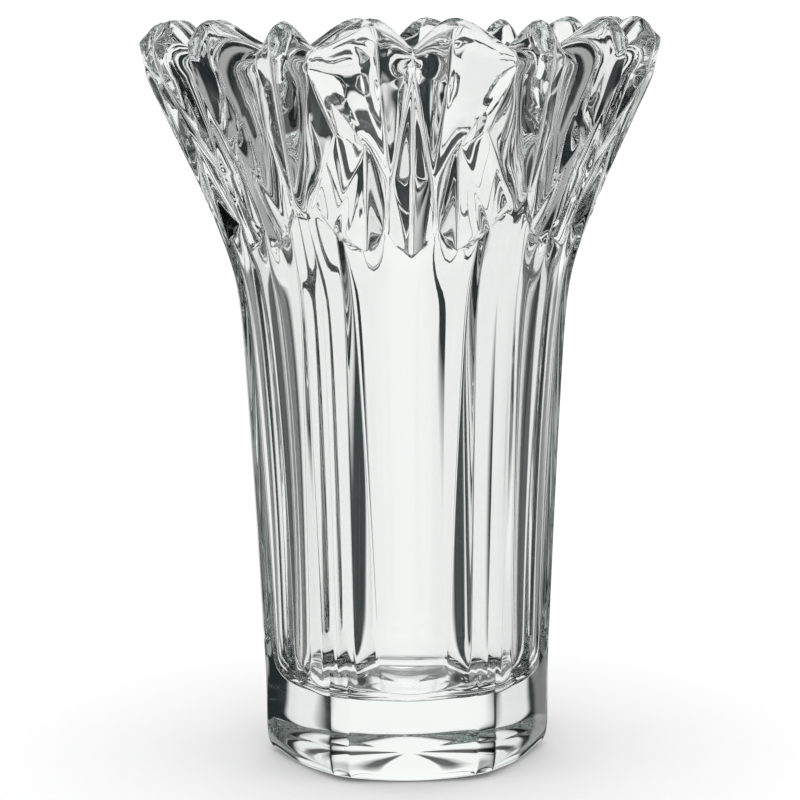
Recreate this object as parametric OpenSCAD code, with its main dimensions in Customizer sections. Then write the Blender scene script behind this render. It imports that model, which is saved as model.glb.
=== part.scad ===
// Heavy pressed crystal vase: a round solid foot, a six-panelled body with
// faceted ribs, and a flared crown of cut petals with an eighteen-lobed rim.
// One continuous piece of clear glass, modelled as three zones that meet face
// to face: the solid foot, the panelled wall and the petal crown.
// Panel centres lie at 0, 60, 120 degrees and so on from -Y, ribs halfway between.

/* [Overall] */
// Height from the table to the highest rim lobe
vase_h = 280; // [260:1:300]
// Radius of the ribs just above the foot
foot_r = 53.8; // [52:0.1:56]
// Largest radius, at the bellies of the rim lobes
rim_r = 97.3; // [94:0.1:100]

/* [Foot] */
// Height of the solid block of glass that forms the foot
foot_h = 26; // [20:1:28]
// Radius of the ring that touches the table
rest_r = 47.5; // [46:0.5:49]
// Height of the rounding at the foot's lower edge
foot_round = 5; // [3:0.5:7]
// Depth of the hollow under the foot
punt_d = 2.5; // [1:0.5:4]

/* [Body] */
// Height at which the crown begins
crown_z = 190; // [180:1:195]
// Radius of the ribs where the crown begins
neck_r = 64.5; // [63:0.5:66]
// How far the smooth panels lie behind the ribs
panel_d = 2.8; // [1:0.2:3.4]
// Radius of the inside just above its rounded floor
well_r = 42.5; // [38:0.5:43]
// Radius of the inside where the crown begins
neck_in_r = 50.5; // [49:0.5:53]

/* [Crown] */
// Depth of the valleys between the rim lobes
lobe_d = 10.5; // [9:0.5:14]
// Thickness of the glass at the rim
rim_t = 13; // [10:0.5:14]
// How far the valleys of the rim lie behind the lobe bellies
scallop_d = 7; // [5:0.5:8]

/* [Hidden] */
$fn = 96;

panels = 6;
sector = 360 / panels;
rib_a = sector / 2;                        // angle from a panel centre to the next rib centre
flare_z = crown_z - 30;                    // the rib line starts to flare here
slim_r = (foot_r + neck_r) / 2 + 1.4;      // rib radius reached by the slow taper there
rib_power = 1.4;                           // how late the slow taper of the ribs builds up
taper_power = 2.5;                         // the same for the inside below the crown
mouth_power = 0.9;                         // and for its flare to the rim
rib_half = 4.6;                            // half width of a rib, degrees
wedge_low = [16.2, 7];                     // wedge bevel at the bottom, degrees either side of the rib
wedge_tip = 0.8;                           // width left of the wedge at its upper point, degrees
wedge_top = 8.8;                           // where the wedge closes to a point, degrees from the rib
valley_z = vase_h - lobe_d;
lip_z = vase_h - 23;                       // lower edge of the lobes' upright faces
valley_r = rim_r - scallop_d;
lip_r = rim_r - 2.7;
toe_mid = [0.2, 0.6];                      // middle of the foot's rounding: share of its height and width
foot_flat = 0.4;                           // share of the panel depth that shows as flats on the foot
floor_t = 1;                               // the wall's own floor, which lies on the foot
floor_z = foot_h + floor_t;
floor_round = 12;                          // radius between the floor and the inside wall
dome_fn = 720;                             // the hollow is a small cap of a large ball
cut_past = 1;                              // cutters run this far past the face they open
rim_in_r = valley_r - rim_t + 2;
taper_z = floor_z + floor_round;           // the inside tapers outwards from here
mouth_z = valley_z - 6;                    // and ends its flare here, just under the rim

// Angles of the seven columns in half a panel, from panel centre to rib centre.
function cols(f) =
    let (outer = rib_a - (wedge_low[0] * (1 - f) + wedge_top * f),
         inner = rib_a - (wedge_low[1] * (1 - f) + (wedge_top - wedge_tip) * f))
    [0, outer / 2, outer, (outer + inner) / 2, inner, rib_a - rib_half, rib_a];

// Rib radius at height z: slow taper, then a quadratic flare into the crown.
function rib_r(z) =
    z < flare_z
        ? foot_r + (slim_r - foot_r) * pow(z / flare_z, rib_power)
        : slim_r + (neck_r - slim_r) * pow((z - flare_z) / (crown_z - flare_z), 2);

// One horizontal ring of the body, as [angle, radius, height] for half a panel.
function body_row(z) =
    let (f = min(1, max(0, (z - foot_h) / (crown_z - foot_h))),
         a = cols(f), r = rib_r(z), p = r - panel_d)
    [[a[0], p, z], [a[1], p, z], [a[2], p, z], [a[3], (p + r) / 2, z],
     [a[4], r, z], [a[5], r, z], [a[6], r, z]];

// One ring of the foot, with a small flat on every rib and round between.
function foot_row(z, r) = [for (p = body_row(foot_h)) [p[0], r - (rib_r(foot_h) - p[1]) * foot_flat, z]];

// Rings of the crown from the leaf tips up to the inner edge of the rim.
// Columns: panel centre, lobe, petal edge, kite, star, narrow petal, rib centre.
leaf_row = [[0, 65.5, 195], [8.6, 66.5, 206], [13.4, 67.8, 198], [19, 69, 204],
            [24, 71, 207], [27, 72, 211], [30, 72.2, 210]];
petal_row = [[0, 77, 226], [5.8, 73.5, 223], [11.5, 81, 236], [18.5, 75, 240],
             [23, 74, 230], [27, 74, 219], [30, 75.5, 219]];
star_row = [[0, valley_r - 2, valley_z - 4], [7.3, lip_r, lip_z], [14, lip_r - 1.5, lip_z + 1],
            [19, lip_r - 3, lip_z + 3], [23.5, valley_r - 2, valley_z - 4],
            [26.5, lip_r - 2, lip_z + 3], [30, lip_r, lip_z]];
belly_row = [[0, valley_r, valley_z - 2], [7.3, rim_r, vase_h - 8], [13, rim_r - 1, vase_h - 9],
             [19, rim_r - 3.5, vase_h - 11], [23.5, valley_r, valley_z - 2],
             [26, rim_r - 2.5, vase_h - 10], [30, rim_r, vase_h - 8]];
crest_row = [[0, valley_r - 2, valley_z], [7.3, rim_r - 3, vase_h], [13, rim_r - 4, vase_h - 2.5],
             [19, rim_r - 6, vase_h - 8], [23.5, valley_r - 2, valley_z],
             [26, rim_r - 5, vase_h - 4], [30, rim_r - 3, vase_h]];
inner_row = [for (p = crest_row) [p[0], rim_in_r + (p[1] - crest_row[0][1]) * 0.6, p[2] - 1.5]];

// A half panel's row, mirrored about the rib and repeated for every panel.
function ring(row) =
    [for (k = [0 : panels - 1], j = [0 : 11])
        let (m = j <= 6 ? j : 12 - j,
             a = k * sector + (j <= 6 ? row[m][0] : sector - row[m][0]) - 90)
        [row[m][1] * cos(a), row[m][1] * sin(a), row[m][2]]];

// Radius of the inside at height z: rounded floor, long taper, then the flare to the rim.
function in_r(z) =
    z < taper_z
        ? well_r - floor_round * (1 - sqrt(1 - pow(1 - (z - floor_z) / floor_round, 2)))
        : z < crown_z
            ? well_r + (neck_in_r - well_r) * pow((z - taper_z) / (crown_z - taper_z), taper_power)
            : neck_in_r + (rim_in_r - neck_in_r) * pow((z - crown_z) / (mouth_z - crown_z), mouth_power);

function inner_ring(z) = [for (p = body_row(z)) [p[0], in_r(z), z]];

// Closed solid through a stack of rows. A tube joins its last row to its first;
// otherwise the first and last rows are filled with flat faces.
module skin(rows, tube = false) {
    n = panels * 12;
    last = len(rows) - 1;
    sides = [for (i = [0 : tube ? last : last - 1], j = [0 : n - 1])
        let (a = i * n + j, b = i * n + (j + 1) % n,
             c = ((i + 1) % (last + 1)) * n + j, d = ((i + 1) % (last + 1)) * n + (j + 1) % n)
        each (j % 12 < 6 ? [[a, c, d], [a, d, b]] : [[a, c, b], [b, c, d]])];
    caps = [[for (j = [0 : n - 1]) j], [for (j = [n - 1 : -1 : 0]) last * n + j]];
    polyhedron(points = [for (row = rows) each ring(row)], faces = tube ? sides : concat(sides, caps));
}

module foot() {
    color([0.86, 0.9, 0.9, 0.5])
    difference() {
        skin([foot_row(0, rest_r),
              foot_row(foot_round * toe_mid[0], rest_r + (foot_r - rest_r) * toe_mid[1]),
              foot_row(foot_round, foot_r),
              body_row(foot_h)]);
        punt();
    }
}

// Shallow domed hollow under the foot, inside the resting ring.
module punt() {
    punt_r = rest_r - 5;
    dome_r = (pow(punt_r, 2) + pow(punt_d, 2)) / (2 * punt_d);
    translate([0, 0, punt_d - dome_r])
        rotate_extrude()
            intersection() {
                circle(r = dome_r, $fn = dome_fn);
                translate([0, dome_r - punt_d - cut_past])
                    square([dome_r, punt_d + 2 * cut_past]);
            }
}

module wall() {
    outside = [for (z = [foot_h, foot_h + 15, 70, 100, 130, flare_z, flare_z + 15, crown_z]) body_row(z)];
    taper = [for (z = [crown_z, 170, 140, 110, 80, 55]) inner_ring(z)];
    floor_edge = [for (a = [90 : -18 : 0]) inner_ring(floor_z + floor_round * (1 - cos(a)))];
    color([0.9, 0.94, 0.94, 0.5])
    skin(concat(outside, taper, floor_edge));
}

module crown() {
    outside = [body_row(crown_z), leaf_row, petal_row, star_row, belly_row, crest_row];
    inside = [for (z = [mouth_z, 245, 228, 210, crown_z]) inner_ring(z)];
    color([0.94, 0.97, 0.97, 0.5])
    skin(concat(outside, [inner_row], inside), tube = true);
}

foot();
wall();
crown();
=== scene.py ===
import math

import bmesh
import bpy
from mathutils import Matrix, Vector

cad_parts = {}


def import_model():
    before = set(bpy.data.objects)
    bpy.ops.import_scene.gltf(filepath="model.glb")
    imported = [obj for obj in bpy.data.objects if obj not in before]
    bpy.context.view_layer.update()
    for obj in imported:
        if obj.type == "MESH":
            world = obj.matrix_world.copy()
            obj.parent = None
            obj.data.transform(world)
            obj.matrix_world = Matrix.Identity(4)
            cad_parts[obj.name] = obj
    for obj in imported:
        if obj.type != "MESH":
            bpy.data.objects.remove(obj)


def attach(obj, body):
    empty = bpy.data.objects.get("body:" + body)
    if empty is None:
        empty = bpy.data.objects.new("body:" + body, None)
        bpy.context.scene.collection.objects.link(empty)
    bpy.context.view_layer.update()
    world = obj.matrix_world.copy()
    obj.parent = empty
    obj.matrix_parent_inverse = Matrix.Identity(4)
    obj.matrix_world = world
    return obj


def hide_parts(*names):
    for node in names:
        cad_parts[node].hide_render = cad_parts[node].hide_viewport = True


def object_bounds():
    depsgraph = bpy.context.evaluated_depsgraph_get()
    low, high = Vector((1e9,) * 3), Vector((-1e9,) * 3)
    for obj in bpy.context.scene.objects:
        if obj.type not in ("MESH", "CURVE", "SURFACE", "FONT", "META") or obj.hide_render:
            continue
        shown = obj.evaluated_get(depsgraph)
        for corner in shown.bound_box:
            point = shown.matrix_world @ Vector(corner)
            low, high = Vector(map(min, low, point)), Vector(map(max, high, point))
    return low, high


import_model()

cad_low, cad_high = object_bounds()
height = cad_high.z - cad_low.z

# ------------------------------------------------------------------ the drawing of the glass
# Points are (angle, radius, height). Angles are degrees from a panel centre, radii and heights
# are those of a vase 280 high with a rim of radius 97.3, and are scaled to the frame by place().
# Smoothing draws the surface in from its corners, so those of the rim stand a little proud.
DRAWN_HEIGHT = 280
DRAWN_RIM_R = 97.3
UP = height / DRAWN_HEIGHT
OUT = cad_high.x / DRAWN_RIM_R
PANELS = 6
SECTOR = 360 / PANELS
FRONT = -90                 # a panel centre faces -Y

# Corners of the crown between a panel centre (0) and a rib centre (30).
CROWN = {
    # star points under the valleys, and the lower edge of the lobes
    "S0": (0, 86.5, 261), "B1": (7.2, 94.0, 257.0), "Q": (15, 93.2, 259), "S1": (23.5, 88.0, 261),
    "B2": (30, 95.0, 257.0),
    # bellies of the lobes
    "V0b": (0, 89.5, 265), "P1b": (7.5, 97.6, 271), "Q1b": (14.5, 96.5, 269), "V1b": (23.5, 90.5, 264.5),
    "P2b": (30, 97.8, 271),
    # crest of the rim
    "V0t": (0, 86.5, 269.5), "P1t": (7.5, 94.5, 283), "Q1t": (15, 93.5, 277.5), "V1t": (23.5, 87.5, 269),
    "P2t": (30, 94.5, 284.5),
    # inner edge of the crest
    "V0i": (0, 79, 268), "P1i": (7.5, 83, 283), "Q1i": (15, 82.5, 277), "V1i": (23.5, 79, 267.5),
    "P2i": (30, 83, 284),
    # middle of the petals
    "A": (0, 78.5, 226), "E": (5.8, 71.6, 223), "M": (11.5, 81.5, 236), "K1": (20, 77.5, 240),
    "K2": (27, 75.5, 216), "C": (30, 72.5, 210),
    # lower tips of the petals
    "T0": (0, 65.2, 195), "N": (8.6, 64.8, 206), "T12": (13.4, 68.2, 198), "H": (20, 68.8, 204),
    "T1": (23.2, 71.2, 206),
}
CROWN_FACES = [
    ("S0", "B1", "P1b", "V0b"), ("B1", "Q", "Q1b", "P1b"), ("Q", "S1", "V1b", "Q1b"),
    ("S1", "B2", "P2b", "V1b"),
    ("V0b", "P1b", "P1t", "V0t"), ("P1b", "Q1b", "Q1t", "P1t"), ("Q1b", "V1b", "V1t", "Q1t"),
    ("V1b", "P2b", "P2t", "V1t"),
    ("V0t", "P1t", "P1i", "V0i"), ("P1t", "Q1t", "Q1i", "P1i"), ("Q1t", "V1t", "V1i", "Q1i"),
    ("V1t", "P2t", "P2i", "V1i"),
    ("S0", "A", "E"), ("S0", "E", "B1"), ("B1", "E", "M", "Q"), ("Q", "M", "S1"), ("S1", "M", "K1"),
    ("M", "T1", "K2", "K1"), ("M", "T12", "H", "T1"), ("E", "N", "T12", "M"), ("A", "T0", "N", "E"),
]
# The narrow petal that leans across each rib; "~" marks the mirrored corner.
LEANING_FACES = [
    ("S1", "K1", "K2", "C", "K2~"), ("S1", "K2~", "B2"), ("B2", "K2~", "S1~"), ("S1~", "K2~", "K1~"),
]
UNCUT = {("Q", "B1"), ("Q", "S1"), ("Q", "M"), ("Q", "Q1b")}     # edges that stay soft
RIM_ROWS = "bti"            # the names of belly, top and inner corners of the rim end in these
VALLEY_CUT = 0.8            # how firmly the valleys between the rim lobes are cut, from 0 to 1

# Shelf under the petal tips: tip, angle, how far behind and how far below the tip.
SHELF = [
    ("T0", 0, 1.6, 1.5), ("N", 8.6, 0.8, 1.5), ("T12", 13.9, 2.2, 2.2), ("H", 21.0, 2.6, 2.2),
    ("T1", 22.2, 2.0, 2.0), ("K2", 26.6, 1.0, 1.5), ("C", 30, 0.6, 1.5),
]

# Ribs and panels.
RIB_FOOT_R = 53.9           # radius of the ribs if carried down to the table
RIB_TAPER = 7.0             # what the slow taper adds at TAPER_Z
RIB_POWER = 1.4             # how late that taper builds up
TAPER_Z = 165
FLARE_Z = 172               # above this the ribs also flare, with the square of the height
RIB_FLARE = 0.006
RIB_SHOULDER = 26.2         # angle between the edge and the middle of a rib
RIB_CROWN = (0.1, 0.3)      # how far a rib swells there and at its middle
BODY_Z = (188, 172, 150, 120, 90, 64, 48)            # heights of the body rows
PANEL_Z = (38, 205)         # the wedge bevels run between these heights
PANEL_STEP = (3.2, 2.2)     # depth of the panels behind the ribs, bottom and top
WEDGE_IN = (13.8, 21.0)     # angle where a wedge leaves the panel, bottom and top
WEDGE_OUT = (23.0, 22.2)    # angle where it meets the rib
WEDGE_POWER = 1.1           # how late the wedges narrow
THIRDS = (0, 1 / 3, 2 / 3, 1)
PANEL_EDGE, RIB_EDGE, RIB_MIDDLE = 3, 4, 6           # columns of a body row
BODY_CUT = {PANEL_EDGE: 1, RIB_EDGE: 0.7, RIB_MIDDLE: 0.25}     # how firmly these are cut
CUT_FADE = (0.15, 0.3, 0.45, 0.6, 0.8, 0.8, 0.8, 0.8)           # times this, from the crown down

# Foot.
FOOT_R = 53.6               # radius of the foot, if it were round
FOOT_FACE = 49.35           # distance from the axis to a wide face of the foot, if it were flat
FOOT_FLATNESS = 0.7         # 0 would be a round foot, 1 a foot with flat faces
FOOT_CORNER = 25.8          # angle where a wide face ends and the narrow face under a rib begins
FOOT_ANGLES = [0, 4.5, 9, 13.5, 19.5, FOOT_CORNER, 30]
FOOT_CORNER_COLUMN = 5
FOOT_CUT = 0.5              # how firmly the corners of the foot are cut
TOE = [(40, 0.25), (33, 0.8)]     # heights between body and foot, and how far along they are
FOOT_Z = (27, 16, 6)
FOOT_EDGE = (2, 1.8)        # height of the rounded lower edge, and how far it lies in
REST_R = 47.5               # the ring that touches the table, from here in to REST_IN_R
REST_IN_R = 44.5

# Hollow under the foot, deeper under the panels than under the ribs.
HOLLOW = [(42, 0.5, 0.7), (30, 1.3, 0.9), (15, 2.2, 0.5), (4, 2.6, 0.1)]     # radius, height, scallop
HOLLOW_Z = 2.7              # height of its middle
STAR_ANGLES = [0, 5, 10, 15, 20, 25, 30]
STAR_DEPTH = [1, 0.95, 0.85, 0.7, 0.45, 0.2, 0.0]    # share of the scallop at these angles
STAR_RIDGE = 6              # column of the ridge under a rib
RIDGE_CUT = 0.5
REST_CUT = 0.4

# Inside.
WELL_R = 42.5               # radius at WELL_Z, just above the rounded floor
WELL_Z = 38
NECK_R = 50.5               # radius at CROWN_Z, where the crown begins
CROWN_Z = 190
TAPER_POWER = 2.5           # how late the inside widens up to there
RIM_IN_R = 78               # radius at MOUTH_Z, just under the rim
MOUTH_Z = 262
MOUTH_POWER = 0.9           # the same from there to the mouth
FLOOR_Z = 28
FLOOR_ROUND = 10
FLOOR_CORNER = [(30, 0), (60, 0), (90, 0.5)]         # turn of the rounding in degrees, and inset
FLOOR_RINGS = (12, 3)
INSIDE_Z = (258, 245, 228, 210, 190, 165, 135, 105, 75, 52, 40)
INSIDE_ANGLES = (0, 7.5, 15, 23.5, 30)
WAVE = (-1, 1, 0.7, -1, 1)  # the lobes show faintly on the inside, at the angles above
WAVE_D = 1.5                # how deep, at the highest row; nothing is left of it at WAVE_Z
WAVE_Z = 225
WAVE_RISE = WAVE_D / (INSIDE_Z[0] - WAVE_Z)

# Finish of the mesh.
CUT_WIDTH = 1.1             # width of a fully cut edge
CUT_SEGMENTS = 2
SMOOTH_LEVEL = 2


def lerp(a, b, f):
    return a + (b - a) * f


def cosd(angle):
    return math.cos(math.radians(angle))


def place(point):
    """A drawn point in the frame."""
    angle, radius, z = point
    turn = math.radians(angle + FRONT)
    return Vector((OUT * radius * math.cos(turn), OUT * radius * math.sin(turn), cad_low.z + UP * z))


def mirrored(point):
    """The point on the other side of the rib."""
    return (SECTOR - point[0], point[1], point[2])


def corner(name):
    return mirrored(CROWN[name[:-1]]) if name.endswith("~") else CROWN[name]


# ------------------------------------------------------------------ profiles and rows
def rib_r(z):
    """Radius of the ribs: a slow taper, then a flare under the crown."""
    return RIB_FOOT_R + RIB_TAPER * (z / TAPER_Z) ** RIB_POWER + RIB_FLARE * max(0, z - FLARE_Z) ** 2


def inner_r(z):
    """Radius of the inside: a long taper up to the crown, then the flare to the mouth."""
    if z < CROWN_Z:
        return WELL_R + (NECK_R - WELL_R) * ((z - WELL_Z) / (CROWN_Z - WELL_Z)) ** TAPER_POWER
    return NECK_R + (RIM_IN_R - NECK_R) * ((z - CROWN_Z) / (MOUTH_Z - CROWN_Z)) ** MOUTH_POWER


def body_row(z):
    """Half a panel, the wedge bevel beside it and half a rib."""
    f = max(0, (z - PANEL_Z[0]) / (PANEL_Z[1] - PANEL_Z[0])) ** WEDGE_POWER
    wedge = lerp(*WEDGE_IN, f)
    r = rib_r(z)
    panel_r = r - lerp(*PANEL_STEP, f)
    panel = [(wedge * share, panel_r, z) for share in THIRDS]
    shoulder, middle = RIB_CROWN
    return panel + [(lerp(*WEDGE_OUT, f), r, z), (RIB_SHOULDER, r + shoulder, z), (30, r + middle, z)]


def foot_r(angle):
    """Radius of the foot: six wide crowned faces and a narrow one under every rib."""
    if angle <= FOOT_CORNER:
        flat = FOOT_FACE / cosd(angle)
    else:
        flat = FOOT_FACE / cosd(FOOT_CORNER) * cosd(angle - FOOT_CORNER)
    return lerp(FOOT_R, flat, FOOT_FLATNESS)


def foot_row(z, inset=0):
    return [(angle, foot_r(angle) - inset, z) for angle in FOOT_ANGLES]


def toe_row(z, f):
    """Between the body and the foot; f runs from 0 at the body to 1 at the foot."""
    return [(lerp(q[0], t, f), lerp(q[1], foot_r(t), f), z) for q, t in zip(body_row(z), FOOT_ANGLES)]


def hollow_row(r, z, scallop):
    """One row of the hollow under the foot."""
    return [(t, r, z + scallop * d) for t, d in zip(STAR_ANGLES, STAR_DEPTH)]


def outside_rows():
    """Rows from the petal tips down to the middle of the hollow under the foot."""
    shelf = [(angle, CROWN[tip][1] - back, CROWN[tip][2] - drop) for tip, angle, back, drop in SHELF]
    toe = [toe_row(z, f) for z, f in TOE]
    block = [foot_row(z) for z in FOOT_Z] + [foot_row(*FOOT_EDGE)]
    hollow = [hollow_row(*entry) for entry in HOLLOW]
    return {
        "tips": [[CROWN[entry[0]] for entry in SHELF]],
        "body": [shelf] + [body_row(z) for z in BODY_Z],
        "foot": toe + block,
        "rest": [[(t, REST_R, 0) for t in FOOT_ANGLES]],
        "hollow": [[(t, REST_IN_R, 0) for t in STAR_ANGLES]] + hollow,
    }


def inside_row(z):
    wave = WAVE_RISE * max(0, z - WAVE_Z)
    return [(t, inner_r(z) + wave * w, z) for t, w in zip(INSIDE_ANGLES, WAVE)]


def floor_corner_row(turn, inset):
    """One row of the rounding between the inside wall and its floor."""
    z = FLOOR_Z + FLOOR_ROUND * (1 - math.sin(math.radians(turn)))
    r = inner_r(INSIDE_Z[-1]) - FLOOR_ROUND * (1 - cosd(turn)) - inset
    return [(t, r, z) for t in INSIDE_ANGLES]


def inside_rows():
    """Rows from the inner edge of the rim down to the middle of the inside floor."""
    rim = [CROWN[name] for name in ("V0i", "P1i", "Q1i", "V1i", "P2i")]
    wall = [inside_row(z) for z in INSIDE_Z]
    rounding = [floor_corner_row(turn, inset) for turn, inset in FLOOR_CORNER]
    flat = [[(t, r, FLOOR_Z) for t in INSIDE_ANGLES] for r in FLOOR_RINGS]
    return [rim] + wall + rounding + flat


# ------------------------------------------------------------------ the mesh
class Net:
    """Faces drawn in one sector and repeated round the axis, every second time mirrored."""

    def __init__(self):
        self.bm = bmesh.new()
        self.cut = self.bm.edges.layers.float.new("bevel_weight_edge")
        self.verts = {}

    def vert(self, point):
        """The vertex at a point; neighbouring faces share it."""
        angle, radius, z = point
        key = (round(angle, 4) % 360 if radius else 0, round(radius, 4), round(z, 4))
        if key not in self.verts:
            self.verts[key] = self.bm.verts.new(place(point))
        return self.verts[key]

    def copies(self, points):
        for k in range(PANELS):
            drawn = [mirrored(q) for q in reversed(points)] if k % 2 else points
            yield [self.vert((q[0] + k * SECTOR, q[1], q[2])) for q in drawn]

    def face(self, points):
        for verts in self.copies(points):
            self.bm.faces.new(verts)

    def half(self, points):
        """A face of the half sector, and its mirror image across the rib."""
        self.face(points)
        self.face([mirrored(q) for q in reversed(points)])

    def strips(self, rows, outward):
        """Four-sided faces between neighbouring rows, facing out or in."""
        for upper, lower in zip(rows, rows[1:]):
            for j in range(len(upper) - 1):
                points = [upper[j], lower[j], lower[j + 1], upper[j + 1]]
                self.half(points if outward else points[::-1])

    def cut_edge(self, a, b, weight):
        for verts in self.copies([a, b]):
            edge = self.bm.edges.get(verts)
            edge[self.cut] = max(edge[self.cut], weight)

    def cut_both(self, a, b, weight):
        """Cuts the edge between two points, and its mirror image across the rib."""
        self.cut_edge(a, b, weight)
        self.cut_edge(mirrored(a), mirrored(b), weight)

    def cut_column(self, rows, column, weight):
        for upper, lower in zip(rows, rows[1:]):
            self.cut_both(upper[column], lower[column], weight)


def crown_cut(a, b):
    """How firmly the edge between two named corners is cut, from 0 to 1."""
    if (a, b) in UNCUT or (b, a) in UNCUT:
        return 0
    if a[-1] in RIM_ROWS and b[-1] in RIM_ROWS:
        return VALLEY_CUT if a[:2] == b[:2] and a[0] == "V" else 0
    return 1


def draw_crown(net):
    for names in CROWN_FACES:
        net.half([CROWN[name] for name in names])
    for names in LEANING_FACES:
        net.face([corner(name) for name in names])


def cut_crown(net):
    for names in CROWN_FACES:
        for a, b in zip(names, names[1:] + names[:1]):
            net.cut_both(CROWN[a], CROWN[b], crown_cut(a, b))
    for names in LEANING_FACES:
        for a, b in zip(names, names[1:] + names[:1]):
            net.cut_edge(corner(a), corner(b), 1)


def cut_body(net, rows):
    """Wedge and rib edges, fading out towards the crown."""
    body = rows["body"] + rows["foot"][:1]
    for upper, lower, fade in zip(body, body[1:], CUT_FADE):
        for column, weight in BODY_CUT.items():
            net.cut_both(upper[column], lower[column], weight * fade)


def cut_foot(net, rows):
    """Corners of the foot, ridges of the hollow and the inner edge of the resting ring."""
    net.cut_column(rows["foot"], FOOT_CORNER_COLUMN, FOOT_CUT)
    net.cut_column(rows["hollow"], STAR_RIDGE, RIDGE_CUT)
    ring = rows["hollow"][0]
    for a, b in zip(ring, ring[1:]):
        net.cut_both(a, b, REST_CUT)


def glass_mesh():
    """The cage of the glass: crown, body, foot, hollow and inside, with its cuts marked."""
    net = Net()
    rows = outside_rows()
    outside = [row for part in rows.values() for row in part]
    inside = inside_rows()
    draw_crown(net)
    net.strips(outside, outward=True)
    net.half(outside[-1] + [(0, 0, HOLLOW_Z)])
    net.strips(inside, outward=False)
    net.half(inside[-1][::-1] + [(0, 0, FLOOR_Z)])
    cut_crown(net)
    cut_body(net, rows)
    cut_foot(net, rows)
    bmesh.ops.recalc_face_normals(net.bm, faces=net.bm.faces)
    mesh = bpy.data.meshes.new("vase_glass")
    net.bm.to_mesh(mesh)
    net.bm.free()
    for polygon in mesh.polygons:
        polygon.use_smooth = True
    return mesh


def vase_glass():
    """The whole vase: cut edges rounded, facets smoothed, and the result kept as its mesh."""
    obj = bpy.data.objects.new("vase_glass", glass_mesh())
    bpy.context.scene.collection.objects.link(obj)
    bevel = obj.modifiers.new("rounded_cuts", "BEVEL")
    bevel.width = CUT_WIDTH * OUT
    bevel.segments = CUT_SEGMENTS
    bevel.limit_method = "WEIGHT"
    bevel.use_clamp_overlap = False
    smooth = obj.modifiers.new("smooth_facets", "SUBSURF")
    smooth.levels = SMOOTH_LEVEL
    smooth.render_levels = SMOOTH_LEVEL
    finished = obj.evaluated_get(bpy.context.evaluated_depsgraph_get())
    mesh = bpy.data.meshes.new_from_object(finished)
    obj.modifiers.clear()
    obj.data = mesh
    mesh.materials.append(clear_crystal())
    return obj


# ------------------------------------------------------------------ materials
GLASS_IOR = 1.53
GLASS_TINT = (0.80, 0.93, 0.90, 1)     # tint that the depth of the glass gives the light
GLASS_DENSITY = 2.0


def clear_crystal():
    """Clear smooth glass, faintly green where it is thick."""
    mat = bpy.data.materials.new("clear_crystal")
    mat.use_nodes = True
    nodes = mat.node_tree.nodes
    glass = nodes["Principled BSDF"]
    glass.inputs["Base Color"].default_value = (1, 1, 1, 1)
    glass.inputs["Transmission Weight"].default_value = 1.0
    glass.inputs["Roughness"].default_value = 0.0
    glass.inputs["IOR"].default_value = GLASS_IOR
    depth = nodes.new("ShaderNodeVolumeAbsorption")
    depth.inputs["Color"].default_value = GLASS_TINT
    depth.inputs["Density"].default_value = GLASS_DENSITY
    mat.node_tree.links.new(depth.outputs["Volume"], nodes["Material Output"].inputs["Volume"])
    return mat


def floor_white():
    mat = bpy.data.materials.new("floor_white")
    mat.use_nodes = True
    paint = mat.node_tree.nodes["Principled BSDF"]
    paint.inputs["Base Color"].default_value = TABLE_WHITE
    paint.inputs["Roughness"].default_value = 1.0
    paint.inputs["Specular IOR Level"].default_value = 0.0
    return mat


# Brightness of the light tent, as (place, brightness). Places in TENT_ROUND are shares of the half
# circle round from behind the vase; in TENT_UP and TENT_TABLE they are shares of the way up from
# straight below to straight above. TENT_UP multiplies the light and TENT_TABLE mixes in the table.
TENT_ROUND = [
    (0.0, 1.0), (17.5 / 180, 1.0), (21 / 180, 0.03), (31 / 180, 0.04), (34.5 / 180, 0.9),
    (43.5 / 180, 0.9), (46 / 180, 0.025), (60 / 180, 0.025), (64 / 180, 0.4), (76 / 180, 0.4),
    (82 / 180, 0.02), (152 / 180, 0.02), (164 / 180, 0.45), (1.0, 0.45),
]
TENT_UP = [(0.0, 1.0), (0.66, 1.0), (0.70, 0.1), (0.85, 0.1), (0.9, 1.5), (1.0, 1.5)]
TENT_TABLE = [(0.0, 1), (0.18, 1), (0.23, 0), (1.0, 0)]
TABLE_WHITE = (0.95, 0.95, 0.95, 1)
DARK_BELOW = 0.3            # brightness below which the tent counts as dark
DARK_RED = 0.75             # share of red in the dark parts and in the light ones
LIGHT_RED = 0.985
BLUE = 0.985


def grey(value):
    return (value, value, value, 1)


def tinted(value):
    """Light areas neutral, dark ones slightly green like the rest of the room."""
    red = DARK_RED if value < DARK_BELOW else LIGHT_RED
    return (value * red, value, value * BLUE, 1)


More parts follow.
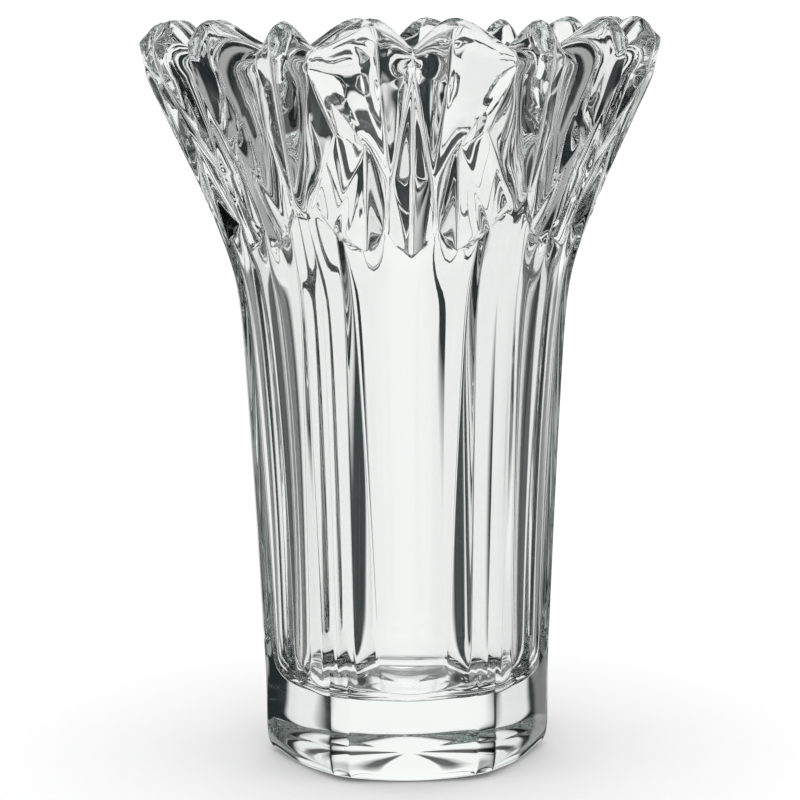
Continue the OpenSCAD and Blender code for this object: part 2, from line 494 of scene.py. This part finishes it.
class Shader:
    """Short names for building the tent's node tree."""

    def __init__(self, tree):
        self.nodes = tree.nodes
        self.links = tree.links

    def math(self, operation, *values):
        node = self.nodes.new("ShaderNodeMath")
        node.operation = operation
        for i, value in enumerate(values):
            if isinstance(value, (int, float)):
                node.inputs[i].default_value = value
            else:
                self.links.new(value, node.inputs[i])
        return node.outputs[0]

    def ramp(self, value, stops, colour):
        node = self.nodes.new("ShaderNodeValToRGB")
        elements = node.color_ramp.elements
        for element, stop in zip(elements, (stops[0], stops[-1])):
            element.position = stop[0]
            element.color = colour(stop[1])
        for position, brightness in stops[1:-1]:
            elements.new(position).color = colour(brightness)
        self.links.new(value, node.inputs["Fac"])
        return node.outputs["Color"]

    def direction(self):
        """X, Y and Z of the direction from the tent's centre, in the tent's own axes."""
        coordinates = self.nodes.new("ShaderNodeTexCoord")
        unit = self.nodes.new("ShaderNodeVectorMath")
        unit.operation = "NORMALIZE"
        self.links.new(coordinates.outputs["Object"], unit.inputs[0])
        parts = self.nodes.new("ShaderNodeSeparateXYZ")
        self.links.new(unit.outputs[0], parts.inputs[0])
        return parts.outputs


def tent_light():
    mat = bpy.data.materials.new("tent_light")
    mat.use_nodes = True
    shader = Shader(mat.node_tree)
    shader.nodes.clear()
    x, y, z = shader.direction()
    turn = shader.math("ARCTAN2", x, shader.math("MULTIPLY", z, -1.0))
    around = shader.math("DIVIDE", shader.math("ABSOLUTE", turn), math.pi)
    upward = shader.math("MULTIPLY_ADD", shader.math("ARCSINE", y), 1 / math.pi, 0.5)
    table = shader.nodes.new("ShaderNodeMixRGB")
    table.inputs["Color2"].default_value = TABLE_WHITE
    shader.links.new(shader.ramp(upward, TENT_TABLE, grey), table.inputs["Fac"])
    shader.links.new(shader.ramp(around, TENT_ROUND, tinted), table.inputs["Color1"])
    glow = shader.nodes.new("ShaderNodeEmission")
    shader.links.new(table.outputs["Color"], glow.inputs["Color"])
    shader.links.new(shader.ramp(upward, TENT_UP, grey), glow.inputs["Strength"])
    output = shader.nodes.new("ShaderNodeOutputMaterial")
    shader.links.new(glow.outputs[0], output.inputs["Surface"])
    mat.cycles.emission_sampling = "NONE"
    return mat


# ------------------------------------------------------------------ studio
ROOM_LIGHT = 1.2
TENT_R = 5                  # metres, like the floor's sizes
TENT_GRID = (48, 24)        # faces round and up
FLOOR_R = 12
FLOOR_SIDES = 96
FLOOR_GAP = 0.0002          # keeps the floor just clear of the glass
CAMERA_BACK = 3.35          # distance and height of the camera, as shares of the vase's height
CAMERA_UP = 1.0018
CAMERA_SIDE = -2.6          # degrees round from the front
CAMERA_DOWN = 8.78          # degrees below level
CAMERA_ROLL = 0.53
CAMERA_PAN = 0.02
LENS = 112.2                # millimetres, on a sensor this wide
SENSOR = 36
BOUNCES = 32
REFLECTIONS = 16


def stage_mesh(name, bm, material):
    mesh = bpy.data.meshes.new(name)
    bm.to_mesh(mesh)
    bm.free()
    mesh.materials.append(material)
    obj = bpy.data.objects.new(name, mesh)
    bpy.context.scene.collection.objects.link(obj)
    return obj


def floor():
    bm = bmesh.new()
    bmesh.ops.create_circle(bm, cap_ends=True, radius=FLOOR_R, segments=FLOOR_SIDES)
    obj = stage_mesh("floor", bm, floor_white())
    obj.location.z = cad_low.z - FLOOR_GAP
    obj.visible_transmission = False
    obj.visible_glossy = False


def light_tent(cam):
    """A shell round the vase that only the glass sees: bright behind the vase, dark at its sides."""
    bm = bmesh.new()
    around, upward = TENT_GRID
    bmesh.ops.create_uvsphere(bm, u_segments=around, v_segments=upward, radius=TENT_R)
    obj = stage_mesh("light_tent", bm, tent_light())
    obj.parent = cam
    obj.location = (0, 0, -CAMERA_BACK * height)
    obj.visible_camera = False
    obj.visible_diffuse = False
    obj.visible_shadow = False


def world():
    studio = bpy.data.worlds.new("studio")
    bpy.context.scene.world = studio
    studio.use_nodes = True
    light = studio.node_tree.nodes["Background"]
    light.inputs["Color"].default_value = (1, 1, 1, 1)
    light.inputs["Strength"].default_value = ROOM_LIGHT


def camera():
    lens = bpy.data.cameras.new("photo_camera")
    lens.lens = LENS
    lens.sensor_width = SENSOR
    cam = bpy.data.objects.new("photo_camera", lens)
    bpy.context.scene.collection.objects.link(cam)
    side = math.radians(CAMERA_SIDE)
    back = CAMERA_BACK * height
    cam.location = (back * math.sin(side), -back * math.cos(side), cad_low.z + CAMERA_UP * height)
    tilt = math.pi / 2 - math.radians(CAMERA_DOWN)
    cam.rotation_euler = (tilt, math.radians(CAMERA_ROLL), side + math.radians(CAMERA_PAN))
    bpy.context.scene.camera = cam
    return cam


def glass_bounces(scene):
    """Enough bounces for light to find its way through the thick glass."""
    scene.view_settings.view_transform = "Standard"
    scene.cycles.max_bounces = BOUNCES
    scene.cycles.transmission_bounces = BOUNCES
    scene.cycles.glossy_bounces = REFLECTIONS
    scene.cycles.transparent_max_bounces = BOUNCES


vase = vase_glass()
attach(vase, "root")
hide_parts("foot", "wall", "crown")
world()
floor()
light_tent(camera())
glass_bounces(bpy.context.scene)
